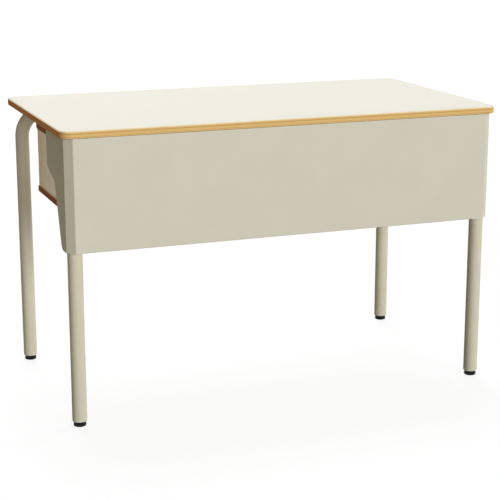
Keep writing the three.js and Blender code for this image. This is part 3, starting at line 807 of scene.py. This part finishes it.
ply_low, ply_high = [corner.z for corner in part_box("desktop_core")]
plywood = slab("desktop_plywood", *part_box("desktop_core"))
backer_low, backer_high = [corner.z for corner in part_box("desktop_backer")]
backer_run = backer_high - backer_low
backer_set_in = under_break - backer_run
ease(plywood, ply_high, laminate_set_in)
ease(plywood, ply_high - laminate_set_in, break_round, 3)
ease(plywood, ply_low, backer_set_in)
top_edge = ply_edge("top_ply_edge", "Z", ply_low, ply_high, top_ply_shades, top_ply_tones)
wear(plywood, top_edge, highlight_cream_edge)
# The plywood's sloping break under the laminate also takes the cream edge: a painted highlight.
paint_faces(plywood, 1, on_upper_break)
smooth(plywood)
settle(plywood, "desk", "beech_plywood", "desktop_core")

under_sheet = slab("desktop_balancing_sheet", *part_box("desktop_backer"), backer_set_in)
ease(under_sheet, backer_low, backer_run - break_rim)
wear(under_sheet, backer_laminate, shadow_line_brown_edge)
paint_faces(under_sheet, 1, round_the_rim)
smooth(under_sheet)
settle(under_sheet, "desk", "backer_sheet", "desktop_backer")


# Front panel. One sheet of 1.5 mm steel, laser cut and folded: a face, a chamfer at each
# front corner, and a return along each end that steps in and tapers down. Hems at the
# top and bottom of the face stiffen it, and it is powder coated after folding.

panel_face_y = -0.3197
panel_half_width = 0.5895
panel_low, panel_high = 0.458, 0.746
panel_wall = 0.0015
chamfer = 0.02
panel_fold_angle = 45
panel_fold_radius = 0.004
hem_fold_radius = 0.0022
hem_reach = 0.0165
hem_end = 0.5345
notch_width = 0.0016
notch_height = 0.003
panel_rim_ease = 0.0003
panel_rim_angle = 69
return_outline = {
    "top": (0.199, 0.746),
    "shoulder": (0.199, 0.644),
    "elbow": (0.1216, 0.623),
    "foot": (0.0653, 0.458),
}
return_corner_radii = {"shoulder": 0.015, "elbow": 0.02, "foot": 0.02}
panel_grey = (223, 221, 207)
panel_grey_deep = (221, 218, 204)


def open_block():
    """Keep a block's front and two ends, and chamfer the corners between them."""
    keep_faces((0, -1, 0), (-1, 0, 0), (1, 0, 0))
    in_front = at(y=panel_face_y)
    round_edges(lambda a, b: near(a.x, b.x) and in_front(a, b), chamfer, segments=1)


def at_front(point):
    """Tell the points of the face and its chamfers from those further back."""
    return point.y < panel_face_y + 1.5 * chamfer


def step_returns():
    """Cut both returns at two levels, and draw their rear corners in to the outline."""
    full_depth = return_outline["top"][0]
    for name in ("shoulder", "elbow"):
        choose("FACE", faces_along("x"))
        bpy.ops.mesh.bisect(plane_co=(0, 0, return_outline[name][1]), plane_no=(0, 0, 1))
    for name in ("elbow", "foot"):
        depth, level = return_outline[name]
        choose("VERT", at(y=panel_face_y + full_depth, z=level))
        bpy.ops.transform.translate(value=(0, depth - full_depth, 0))
    for name in ("shoulder", "elbow"):
        level = return_outline[name][1]
        choose("EDGE", at(z=level))
        bpy.ops.mesh.dissolve_edges(use_verts=False)
        choose("VERT", lambda point: near(point.z, level) and at_front(point))
        bpy.ops.mesh.dissolve_verts()


def corner_run(before, here, after, radius):
    """How far from a corner, along its edges, a round of the given radius starts."""
    back = math.atan2(before[1] - here[1], before[0] - here[0])
    ahead = math.atan2(after[1] - here[1], after[0] - here[0])
    opening = abs(back - ahead) % (2 * math.pi)
    return radius / math.tan(min(opening, 2 * math.pi - opening) / 2)


def round_corners():
    """Round the corners of both returns."""
    corners = list(return_outline.values()) + [(0, panel_low)]
    for number, name in enumerate(return_outline):
        if name in return_corner_radii:
            depth, level = return_outline[name]
            run = corner_run(*corners[number - 1 : number + 2], return_corner_radii[name])
            choose("VERT", at(y=panel_face_y + depth, z=level))
            bpy.ops.mesh.bevel(offset=run, segments=10, affect="VERTICES")


def cut_notches():
    """Cut a small notch at each end of both hems, so that they can be turned in."""
    for x in (hem_end, hem_end + notch_width):
        for side in (-1, 1):
            choose("FACE", lambda middle, facing: facing.y < -square_on)
            bpy.ops.mesh.bisect(plane_co=(side * x, 0, 0), plane_no=(1, 0, 0))
    column_x = hem_end + notch_width / 2
    for level in (panel_low + notch_height, panel_high - notch_height):
        choose("FACE", lambda middle, facing: near(abs(middle.x), column_x))
        bpy.ops.mesh.bisect(plane_co=(0, 0, level), plane_no=(0, 0, 1))
    middle_level = (panel_low + panel_high) / 2

    def in_notch(middle, facing):
        return near(abs(middle.x), column_x) and not near(middle.z, middle_level)

    choose("FACE", in_notch)
    bpy.ops.mesh.delete(type="FACE")


def turn_hems():
    """Draw a hem back from the face's upper and lower edge, and round its fold."""
    for level in (panel_low, panel_high):
        on_rim = at(y=panel_face_y, z=level)

        def hem_fold(a, b):
            return on_rim(a, b) and near(a.x, -b.x) and near(abs(a.x), hem_end)

        choose("EDGE", hem_fold)
        extrude(0, hem_reach, 0)
        round_edges(hem_fold, hem_fold_radius, segments=5)


def round_folds():
    """Give the four upright folds their radius."""
    upright = edges_along("z")
    fold_places = (panel_half_width - chamfer, panel_half_width)

    def fold(a, b):
        return upright(a, b) and at_front(a) and any(near(abs(a.x), x) for x in fold_places)

    run = panel_fold_radius * math.tan(math.radians(panel_fold_angle / 2))
    round_edges(fold, run, segments=6)


panel = block(
    "folded_front_panel",
    (-panel_half_width, panel_face_y, panel_low),
    (panel_half_width, panel_face_y + return_outline["top"][0], panel_high),
)
with editing(panel):
    open_block()
    step_returns()
    round_corners()
    cut_notches()
    turn_hems()
    round_folds()
thicken(panel, panel_wall)
modify(
    panel,
    "BEVEL",
    width=panel_rim_ease,
    segments=2,
    limit_method="ANGLE",
    angle_limit=math.radians(panel_rim_angle),
)
smooth(panel, angle=30)
panel_paint = powder_coat("panel_powder_coat", panel_grey, panel_grey_deep)
wear(panel, panel_paint)
settle(panel, "desk", "panel_paint", "modesty_panel")


# Panel brackets. A bent plate is welded to the inner side of each front leg along its
# rear edge. Two studs on the back of the panel come through it and take flanged nuts.

bracket_low, bracket_high = 0.478, 0.648
bracket_x = (0.5135, 0.5465)
bracket_y = (-0.3182, -0.2822)
bracket_wall = 0.003
bracket_root = 0.0045
nut_x = 0.5285
nut_heights = {"lower": 0.518, "upper": 0.608}
nut_sides = 6
nut_radius = 0.00575
nut_crown_radius = 0.004945
nut_shoulder = 0.004
nut_height = 0.005
stud_radius = 0.003
stud_root_radius = 0.00258
stud_tip_radius = 0.0024
stud_plain_run = 0.0078
stud_thread_start = 0.008
stud_pitch = 0.001
stud_turns = 4
stud_reach = 0.012
nut_profile = [(nut_radius, 0), (nut_radius, nut_shoulder), (nut_crown_radius, nut_height)]
stud_profile = [(stud_radius, 0), (stud_radius, stud_plain_run)]
for step in range(stud_turns):
    start = stud_thread_start + step * stud_pitch
    stud_profile += [(stud_root_radius, start), (stud_radius, start + stud_pitch / 2)]
stud_profile += [(stud_tip_radius, stud_reach)]

for side_name, side in left_right.items():
    edges = sorted(side * x for x in bracket_x)
    bracket = folded(
        f"welded_bracket_{side_name}",
        (edges[0], bracket_y[0], bracket_low),
        (edges[1], bracket_y[1], bracket_high),
        [(0, -1, 0), (side, 0, 0)],
        bracket_wall,
        bracket_root,
    )
    weld(bracket, f"bracket_weld_{side_name}", at(x=side * bracket_x[1], y=bracket_y[1]))
    wear(bracket, frame_paint)
    settle(bracket, "desk", "frame_paint", f"panel_bracket_{side_name}")
    for level, height in nut_heights.items():
        nut_name = f"flange_nut_{side_name}_{level}"
        seat = (side * nut_x, bracket_y[0] + bracket_wall, height)
        nut = turned(nut_name, seat, (0, 1, 0), nut_profile, nut_sides)
        stud_name = f"weld_stud_{side_name}_{level}"
        base = (side * nut_x, bracket_y[0], height)
        stud = turned(stud_name, base, (0, 1, 0), stud_profile, sides=20)
        for part in (nut, stud):
            smooth(part)
            wear(part, zinc)
        settle(nut, "desk", "zinc_steel", f"panel_nut_{side_name}_{level}")
        settle(stud, "desk", "zinc_steel")


# Feet. A black polythene plug is pressed into each leg, and a glide with a screwed stem
# turns in it to level the desk.

collar_profile = [
    (0.0150, 0.0095), (0.0156, 0.0101), (0.01625, 0.0128), (0.01625, 0.0138),
    (0.0158, 0.0140), (0.0172, 0.0141), (0.0172, 0.0435), (0.0160, 0.0440),
]
glide_profile = [
    (0.0130, 0.0), (0.0135, 0.0), (0.0156, 0.0010), (0.0163, 0.0020),
    (0.0165, 0.0032), (0.0165, 0.0062), (0.0162, 0.0070), (0.0152, 0.0080),
    (0.0150, 0.0092), (0.0040, 0.0092), (0.0040, 0.0360),
]
foot_sides = 48
plastic_black = (13, 13, 14)


def moulded_plastic(name, tone, roughness):
    """Moulded plastic with the fine spark-eroded texture of its mould."""
    plastic = Finish(name, IOR=1.45, Specular_IOR_Level=0.3)
    texture = plastic.noise(scale=1100)
    scuff = plastic.noise(scale=60, detail=4)
    lighter = [value * 1.25 + 3 for value in tone]
    plastic.set(
        Base_Color=plastic.mix(scuff.ramp(0.45, 0.8), colour(*tone), colour(*lighter)),
        Roughness=roughness + 0.15 * texture,
    )
    plastic.raise_by(texture, depth=0.00008)
    return plastic.material


black_plastic = moulded_plastic("black_plastic", plastic_black, roughness=0.45)
for end_name, end in front_rear.items():
    for side_name, side in left_right.items():
        corner = f"{end_name}_{side_name}"
        base = (side * leg_x, end * leg_y, 0)
        plug = turned(f"leg_plug_{corner}", base, (0, 0, 1), collar_profile, foot_sides)
        glide = turned(f"glide_{corner}", base, (0, 0, 1), glide_profile, foot_sides)
        for part in (plug, glide):
            smooth(part, angle=30)
            wear(part, black_plastic)
        settle(plug, "desk", "black_plastic", f"foot_insert_{corner}")
        settle(glide, f"glide_{corner}", "black_plastic", f"levelling_glide_{corner}")


# Box of the drawer unit. Two wider boards, with a bare layered edge under thin laminate
# faces, hold two sides and a back between them. Four screws go up into the rails.

board_arris = 0.0005
box_screw_y = {"front": -0.158, "rear": 0.102}
box_screw_x = {"left": rail_places["rail_left"], "right": rail_places["rail_middle"]}
box_screw_reach = 0.024
pocket_low = (-0.348, 0.160, 0.690)
pocket_high = (-0.302, 0.166, 0.705)
board_beige = (243, 221, 164)
board_beige_deep = (239, 215, 156)
# The box boards' ply tones are a darker copy of the desktop plywood's: painted shade, as the box
# sits in shadow under the top.
shaded_board_ply_tones = {
    "light": (202, 154, 98),
    "golden": (184, 130, 76),
    "dark": (136, 88, 46),
    # Sideways edges: a darker end grain tone, partly painted shade.
    "end grain": (147, 68, 28),
}
board_ply_shades = [0.2, 0.8, 0.3, 0.9, 0.4, 0.7, 0.3, 0.9, 0.2]
back_ply_shades = [0.2, 0.8, 0.4, 0.9, 0.3]
box_boards = {
    "top_board": ("z", board_ply_shades),
    "bottom_board": ("z", board_ply_shades),
    "side_left": ("x", board_ply_shades),
    "side_right": ("x", board_ply_shades),
    "back": ("y", back_ply_shades),
}


def melamine(name, light, deep):
    """A smooth, rather glossy melamine face with the faintest mottle."""
    face = Finish(name, IOR=1.5)
    mottle = face.noise(scale=35, detail=3)
    skin = face.noise(scale=900)
    face.set(
        Base_Color=face.mix(mottle.ramp(0.3, 0.7), colour(*deep), colour(*light)),
        Roughness=0.32 + 0.1 * skin,
    )
    face.raise_by(skin, depth=0.00001, strength=0.6)
    return face.material


def edged_board(name, low, high, face, edge, test):
    """A board with its arrises off. Its face material goes on where the test passes."""
    board = block(name, low, high)
    wear(board, edge, face)
    paint_faces(board, 1, test)
    modify(board, "BEVEL", width=board_arris, segments=2, limit_method="ANGLE", material=0)
    return board


beige_melamine = melamine("beige_melamine", board_beige, board_beige_deep)
for part, (across, shades) in box_boards.items():
    name = part.removesuffix("_board")
    low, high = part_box(f"box_{part}")
    run = (getattr(low, across), getattr(high, across))
    edge = ply_edge(f"box_{name}_ply_edge", across.upper(), *run, shades, shaded_board_ply_tones)
    test = faces_along(across)
    board = edged_board(f"drawer_box_{name}", low, high, beige_melamine, edge, test)
    if part == "top_board":
        cut(board, block("pocket_cutter", pocket_low, pocket_high))
    smooth(board)
    settle(board, "desk", "board_face", f"box_{part}")
for side_name, x in box_screw_x.items():
    for end_name, y in box_screw_y.items():
        node = f"box_screw_{side_name}_{end_name}"
        seat = (x, y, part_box("box_top_board")[0].z)
        screw = pan_screw(f"{node}_turned", seat, (0, 0, 1), box_screw_reach)
        settle(screw, "desk", "zinc_steel", node)


# Drawer. Melamine boards glued and dowelled, the bottom let into grooves, and a front of
# laminated plywood that covers the mouth of the box.

drawer_groove_ease = 0.0003
drawer_cream = (232, 222, 198)
drawer_cream_deep = (227, 215, 188)
handle_screw_x = (-0.389, -0.261)
handle_height = 0.609
handle_hole_radius = 0.00265
lock_x, lock_height = -0.325, 0.671
lock_hole_radius = 0.0093
front_inner_y, front_outer_y = 0.166, 0.182
drill_overrun = 0.005

cream_melamine = melamine("cream_melamine", drawer_cream, drawer_cream_deep)


def groove(board):
    """Cut the groove that takes the edge of the drawer's bottom."""
    low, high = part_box("drawer_bottom")
    low = [value - drawer_groove_ease for value in low]
    high = [value + drawer_groove_ease for value in high]
    cut(board, block("groove_saw", low, high))


def drill(board, x, height, radius, sides):
    """Drill a hole right through the drawer front."""
    start = (x, front_inner_y - drill_overrun, height)
    end = (x, front_outer_y + drill_overrun, height)
    cut(board, bar("front_drill", radius, start, end, sides))


for part in ("side_left", "side_right", "back", "bottom"):
    board = edged_board(
        f"drawer_{part}_board",
        *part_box(f"drawer_{part}"),
        cream_melamine,
        cream_melamine,
        faces_along("z"),
    )
    if part != "bottom":
        groove(board)
    smooth(board)
    settle(board, "drawer", "drawer_board", f"drawer_{part}")

front_low, front_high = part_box("drawer_front")
front_edge = ply_edge(
    "front_ply_edge", "Y", front_low.y, front_high.y, top_ply_shades, top_ply_tones
)
front = edged_board(
    "laminated_drawer_front",
    front_low,
    front_high,
    white_laminate,
    front_edge,
    faces_along("y"),
)
groove(front)
for x in handle_screw_x:
    drill(front, x, handle_height, handle_hole_radius, sides=24)
drill(front, lock_x, lock_height, lock_hole_radius, sides=48)
smooth(front)
settle(front, "drawer", "drawer_board", "drawer_front")


# Runners and rollers. Epoxy-coated steel strips, rolled to shape: a channel on each side
# of the box, a strip under each drawer side, and one nylon roller riveted to each.

roller_height = 0.5583
roller_places = {"cabinet": 0.150, "drawer": -0.220}
roller_starts = {"left": -0.5264, "right": -0.1236}
runner_cream = (236, 231, 219)
nylon_white = (232, 229, 220)
roller_profile = [
    (0.0024, 0.0), (0.0060, 0.0), (0.0064, 0.0006), (0.0084, 0.0006),
    (0.0088, 0.0), (0.0093, 0.0), (0.0100, 0.0008), (0.0100, 0.0057),
    (0.0093, 0.0065), (0.0088, 0.0065), (0.0084, 0.0059), (0.0064, 0.0059),
    (0.0060, 0.0065), (0.0024, 0.0065), (0.0024, 0.0),
]

runner_coat = powder_coat("runner_epoxy_coat", runner_cream, dimmed(runner_cream, 0.98))
nylon = moulded_plastic("nylon", nylon_white, roughness=0.3)
for side_name in ("left", "right"):
    for kind in ("cabinet", "drawer"):
        wear(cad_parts[f"{kind}_runner_{side_name}"], runner_coat)
        way = (1 if side_name == "left" else -1, 0, 0)
        base = (roller_starts[side_name], roller_places[kind], roller_height)
        name = f"{kind}_roller_{side_name}"
        roller = turned(f"nylon_{name}", base, way, roller_profile, sides=40, hollow=True)
        smooth(roller, angle=30)
        wear(roller, nylon)
        settle(roller, name, "roller_plastic", name)


# Handle. A bow bent from one steel bar, 10 mm thick, brushed and plated with satin
# nickel. Two screws from inside the drawer hold its feet to the front.

handle_radius = 0.005
handle_sides = 32
handle_bar_y = 0.207
handle_bend_radius = 0.012
handle_bend_steps = 12
handle_foot_ease = 0.0004
handle_screw_reach = 0.025
nickel_deep = (196, 190, 178)
nickel_light = (208, 203, 192)


def satin_nickel(name):
    """Nickel plate over brushed steel, with fine marks that run round the bar."""
    metal = Finish(name, Metallic=1)
    brushing = metal.noise(scale=1, detail=3, place=metal.stretched(2500, 180, 180))
    cloud = metal.noise(scale=90)
    metal.set(
        Base_Color=metal.mix(cloud, colour(*nickel_deep), colour(*nickel_light)),
        Roughness=0.26 + 0.12 * brushing,
    )
    metal.raise_by(brushing, depth=0.00001)
    return metal.material


nickel = satin_nickel("satin_nickel")
handle_ends = (min(handle_screw_x), max(handle_screw_x))
handle_start = (handle_ends[0], front_outer_y, handle_height)
handle = ring("bow_handle", handle_radius, handle_sides, handle_start, (0, 1, 0))
bend_y = handle_bar_y - handle_bend_radius
bends_x = (handle_ends[0] + handle_bend_radius, handle_ends[1] - handle_bend_radius)
with editing(handle):
    bpy.ops.mesh.select_all(action="SELECT")
    extrude(0, bend_y - front_outer_y, 0)
    quarter_bend((bends_x[0], bend_y, handle_height), (0, 0, -1), handle_bend_steps)
    extrude(bends_x[1] - bends_x[0], 0, 0)
    quarter_bend((bends_x[1], bend_y, handle_height), (0, 0, -1), handle_bend_steps)
    extrude(0, front_outer_y - bend_y, 0)
    bpy.ops.mesh.select_all(action="SELECT")
    bpy.ops.mesh.fill_holes(sides=0)
    bpy.ops.mesh.normals_make_consistent(inside=False)
    round_edges(at(y=front_outer_y), handle_foot_ease, segments=2)
smooth(handle)
wear(handle, nickel)
settle(handle, "drawer", "satin_nickel", "drawer_handle")
for side_name, x in zip(("left", "right"), handle_ends):
    node = f"handle_screw_{side_name}"
    seat = (x, front_inner_y, handle_height)
    screw = pan_screw(f"{node}_turned", seat, (0, 1, 0), handle_screw_reach)
    settle(screw, "drawer", "zinc_steel", node)


# Lock. A die-cast barrel through the drawer front, a plug that the key turns, and a
# pressed steel cam on its tail.

barrel_profile = [
    (0.0063, 0.0), (0.0090, 0.0), (0.0090, 0.0160), (0.0115, 0.0160),
    (0.0115, 0.0169), (0.0111, 0.0174), (0.0096, 0.0176), (0.0086, 0.0180),
    (0.0067, 0.0180), (0.0063, 0.0177), (0.0063, 0.0),
]
plug_profile = [
    (0.0036, 0.0), (0.0040, 0.0005), (0.0040, 0.0080), (0.0060, 0.0080),
    (0.0060, 0.0257), (0.0057, 0.0260),
]
plug_start_y = 0.158
key_slot_width = 0.007
key_slot_height = 0.0016
key_slot_depth = 0.005

base = (lock_x, front_inner_y, lock_height)
barrel = turned("lock_barrel", base, (0, 1, 0), barrel_profile, sides=56, hollow=True)
base = (lock_x, plug_start_y, lock_height)
plug = turned("lock_key_plug", base, (0, 1, 0), plug_profile, sides=48)
slot_middle = (lock_x, plug_start_y + plug_profile[-1][1], lock_height)
slot_half = (key_slot_width / 2, key_slot_depth, key_slot_height / 2)
slot_low = [m - h for m, h in zip(slot_middle, slot_half)]
slot_high = [m + h for m, h in zip(slot_middle, slot_half)]
cut(plug, block("key_broach", slot_low, slot_high))
for part in (barrel, plug):
    smooth(part, angle=30)
    wear(part, nickel)
settle(barrel, "drawer", "satin_nickel", "lock_body")
settle(plug, "lock", "satin_nickel", "lock_plug")
wear(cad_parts["lock_cam"], zinc)


# Studio. A plain white floor runs out to a white background, and both give back a little
# warm light. Large soft lamps stand low on three sides and high behind, and the camera
# looks from the photograph's side.

floor_radius = 30
floor_sides = 96
floor_white = (248, 250, 254)
floor_bounce = (122, 110, 79)
floor_fade = (1.6, 3.2)
floor_glow = 0.86
floor_glow_strength = 1.04
sky_level = 0.14
sky_bounce = (255, 242, 205)
lamps = {
    "key_lamp": {"strength": 1.55, "angle": 26, "height": 11, "way": 27},
    "front_lamp": {"strength": 1.1, "angle": 30, "height": 5, "way": -10},
    "rear_lamp": {"strength": 1.9, "angle": 30, "height": 62, "way": 170},
    "side_lamp": {"strength": 1.2, "angle": 30, "height": 12, "way": 112},
    "back_lamp": {"strength": 1.1, "angle": 30, "height": 7, "way": 172},
}
camera_place = (-1.389, -3.672, 1.328)
camera_turn = (75.93, 0, -20.86)
camera_lens = 103.35


def seen_directly(shading):
    """1 for rays from the eye, from glossy and from clear surfaces, and else 0."""
    rays = ["Is Camera Ray", "Is Glossy Ray", "Is Transmission Ray"]
    seen = [shading.node("ShaderNodeLightPath", {}, {}, ray) for ray in rays]
    return seen[0].maths("MAXIMUM", seen[0], seen[1].maths("MAXIMUM", seen[1], seen[2]))


def studio_floor(name):
    """White, faintly shaded near the desk, duller to bounced light, and clear from below."""
    ground = Finish(name)
    ground.nodes.remove(ground.shader)
    shaded = ground.node("ShaderNodeBsdfDiffuse", {}, {"Color": colour(*floor_white)})
    light = {"Color": (1, 1, 1, 1), "Strength": floor_glow_strength}
    blank = ground.node("ShaderNodeEmission", {}, light)
    bounce = ground.node("ShaderNodeBsdfDiffuse", {}, {"Color": colour(*floor_bounce)})
    distance = ground.node("ShaderNodeVectorMath", {"operation": "LENGTH"}, {0: ground.place}, 1)
    glow = floor_glow + (1 - floor_glow) * distance.ramp(*floor_fade)
    shown = ground.node("ShaderNodeMixShader", {}, {0: glow, 1: shaded, 2: blank})
    seen = seen_directly(ground)
    above = ground.node("ShaderNodeMixShader", {}, {0: seen, 1: bounce, 2: shown})
    from_below = ground.node("ShaderNodeNewGeometry", {}, {}, "Backfacing")
    clear = ground.node("ShaderNodeBsdfTransparent", {}, {})
    surface = ground.node("ShaderNodeMixShader", {}, {0: from_below, 1: above, 2: clear})
    ground.fill(ground.nodes["Material Output"].inputs["Surface"], surface)
    return ground.material


floor = ring("studio_floor", floor_radius, floor_sides, (0, 0, 0), filled=True)
wear(floor, studio_floor("studio_floor_white"))

scene = bpy.context.scene
scene.view_settings.view_transform = "Standard"
scene.world = bpy.data.worlds.new("studio_white")
sky = Shading(scene.world)
seen = seen_directly(sky)
sky_colour = sky.mix(seen, colour(*sky_bounce), (1, 1, 1, 1))
sky.fill(sky.nodes["Background"].inputs["Color"], sky_colour)
sky.fill(sky.nodes["Background"].inputs["Strength"], seen + (1 - seen) * sky_level)


def soft_lamp(name, strength, angle, height, way):
    """A broad even lamp, its way counted from the front towards the right.

    Only the white surroundings show in gloss, so the top never glares.
    """
    turn = (math.radians(90 - height), 0, math.radians(way))
    bpy.ops.object.light_add(type="SUN", rotation=turn)
    lamp = bpy.context.object
    lamp.name = name
    lamp.data.energy = strength
    lamp.data.angle = math.radians(angle)
    lamp.visible_glossy = False


for lamp_name, setting in lamps.items():
    soft_lamp(lamp_name, **setting)

bpy.ops.object.camera_add(
    location=camera_place, rotation=[math.radians(angle) for angle in camera_turn]
)
camera = bpy.context.object
camera.data.lens = camera_lens
scene.camera = camera
